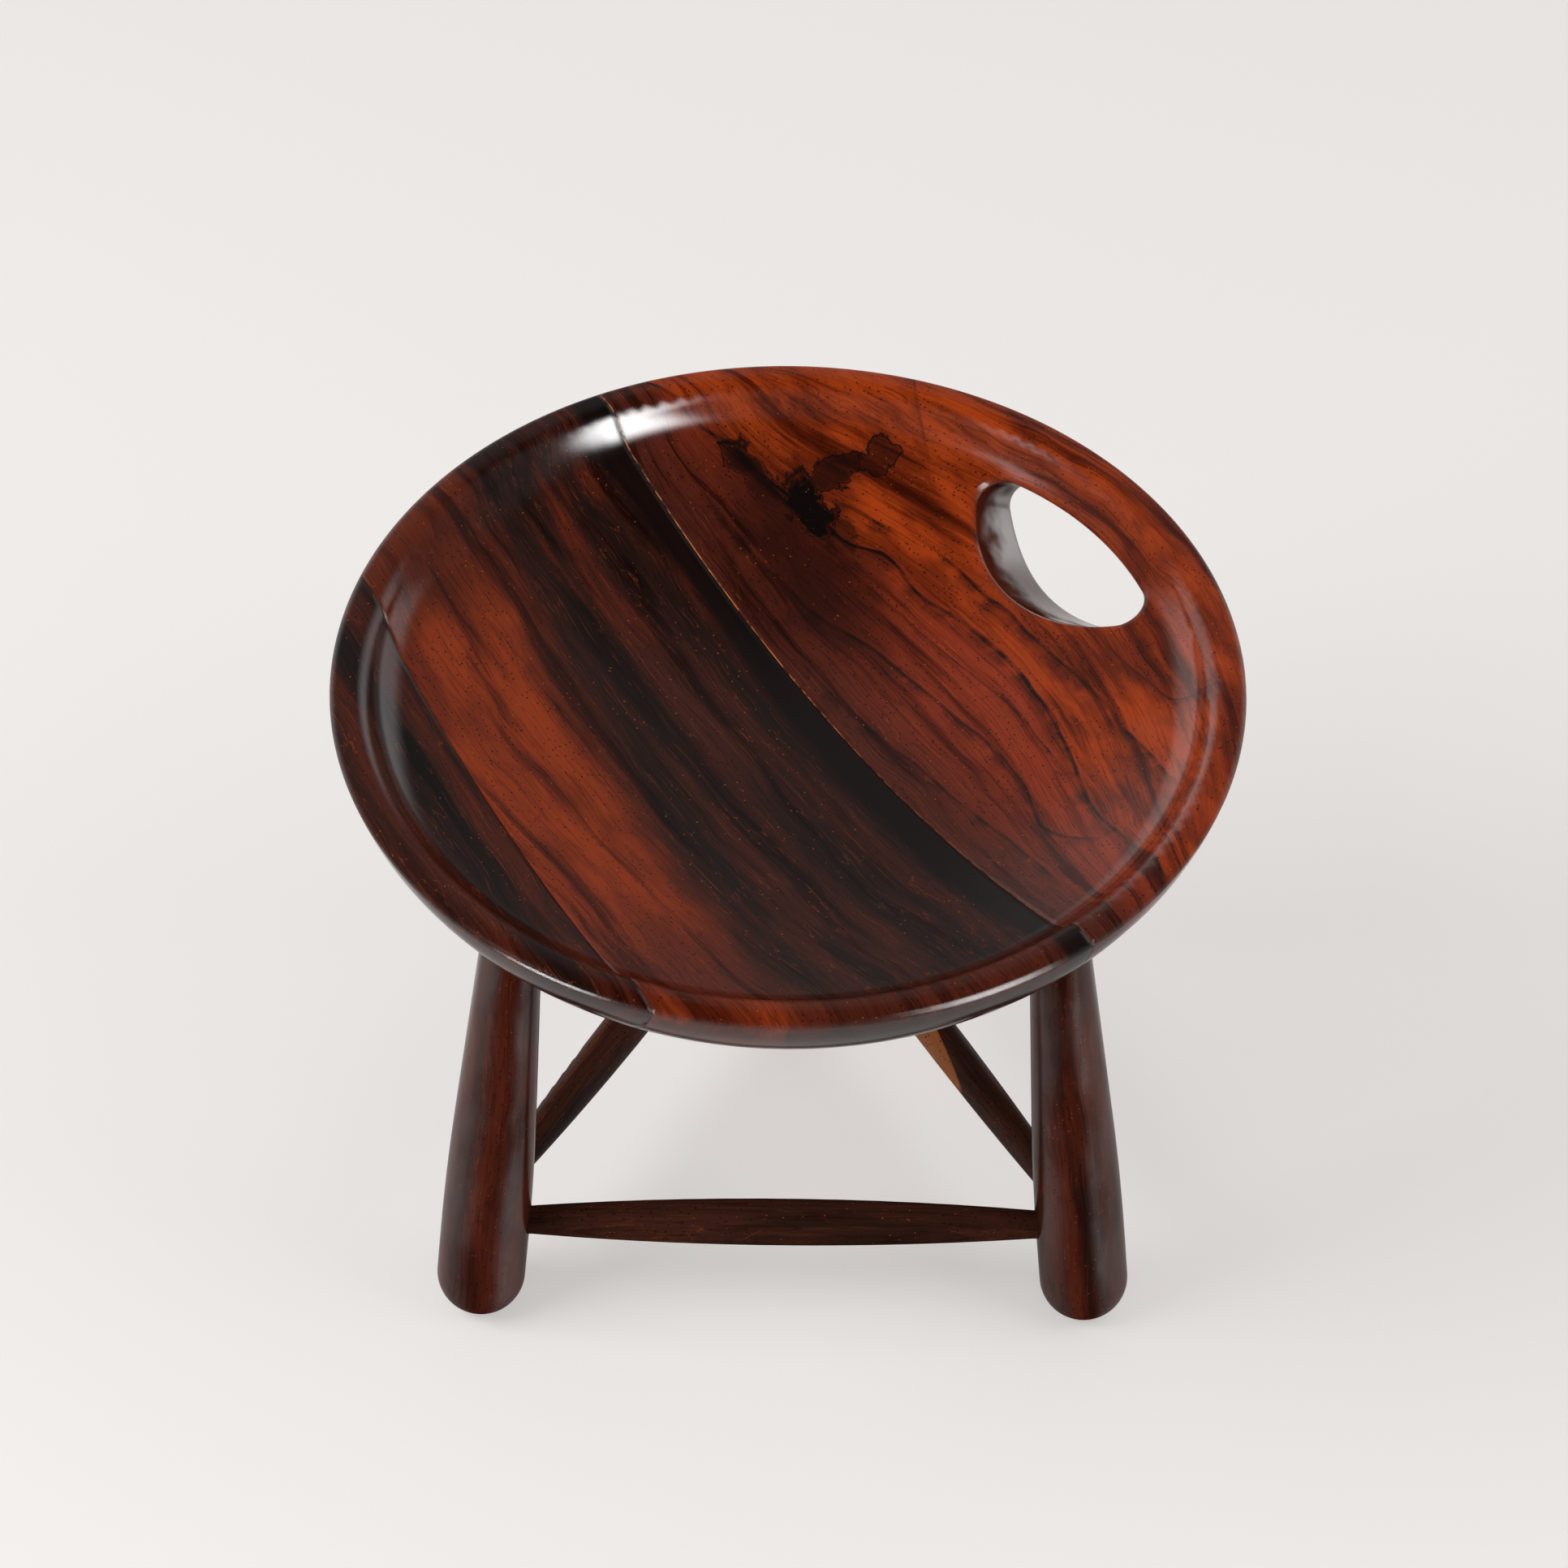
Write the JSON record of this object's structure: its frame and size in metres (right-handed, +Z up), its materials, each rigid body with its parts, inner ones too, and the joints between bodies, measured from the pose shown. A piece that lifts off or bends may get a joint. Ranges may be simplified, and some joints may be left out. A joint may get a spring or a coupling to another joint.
{
  "type": "low three-legged stool",
  "caption": "Low wooden stool: round dished seat of glued boards with a hand slot, on splayed club legs tied by tapered stretchers.",
  "frame": {"origin": "on the floor, on the axis of the round seat", "axes": "+Z up; +Y from the two front legs to the back leg; +X to the right, seen from the front"},
  "size_m": [0.4002, 0.4002, 0.3301],
  "materials": {
    "seat_board_right": "glossy lacquer",
    "seat_board_middle": "glossy lacquer",
    "seat_board_left": "glossy lacquer",
    "leg_wood": "satin lacquer",
    "stretcher_wood": "satin lacquer"
  },
  "bodies": {
    "root": {"seat_board_right": "seat_board_right", "seat_board_middle": "seat_board_middle", "seat_board_left": "seat_board_left", "leg_right": "leg_wood", "leg_back": "leg_wood", "leg_left": "leg_wood", "stretcher_front": "stretcher_wood", "stretcher_right": "stretcher_wood", "stretcher_left": "stretcher_wood"}
  },
  "joints": []
}
